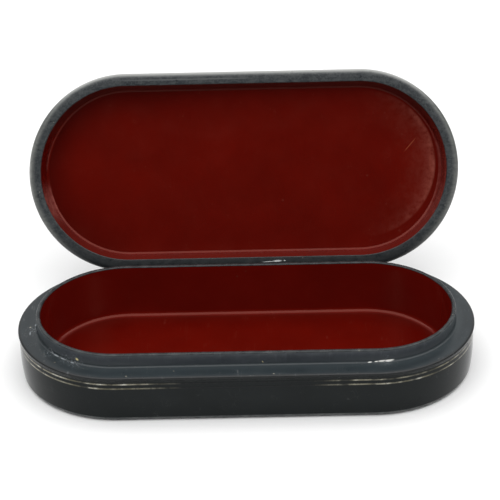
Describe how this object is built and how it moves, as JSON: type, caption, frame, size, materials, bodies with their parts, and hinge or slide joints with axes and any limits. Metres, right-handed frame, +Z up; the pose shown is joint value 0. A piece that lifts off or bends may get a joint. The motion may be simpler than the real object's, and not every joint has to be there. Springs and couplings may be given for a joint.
{
  "type": "lacquer box",
  "caption": "Oblong lacquered papier-mache trinket box with round ends, a raised inner lip and a hinged lid that leans back open on its bevelled rear edge.",
  "frame": {"origin": "middle of the flat underside of the body", "axes": "+X along the length, +Y towards the hinge, +Z up"},
  "size_m": [0.15, 0.1034, 0.0782],
  "materials": {
    "black_lacquer": "gloss",
    "red_lacquer": "gloss",
    "brass": "aged"
  },
  "bodies": {
    "body": {"base_board": "black_lacquer", "body_wall": "black_lacquer", "collar": "red_lacquer", "body_hinge_leaf": "brass", "body_leaf_pins": "brass", "hinge_pin": "brass"},
    "lid": {"lid_wall": "black_lacquer", "lid_board": "red_lacquer", "lid_hinge_leaf": "brass", "lid_leaf_pins": "brass"}
  },
  "joints": [
    {"name": "lid_hinge", "type": "hinge", "parent": "body", "child": "lid", "pos_m": [0, 0.0335, 0.01657], "axis": [1, 0, 0], "range_deg": [0, 114]}
  ]
}
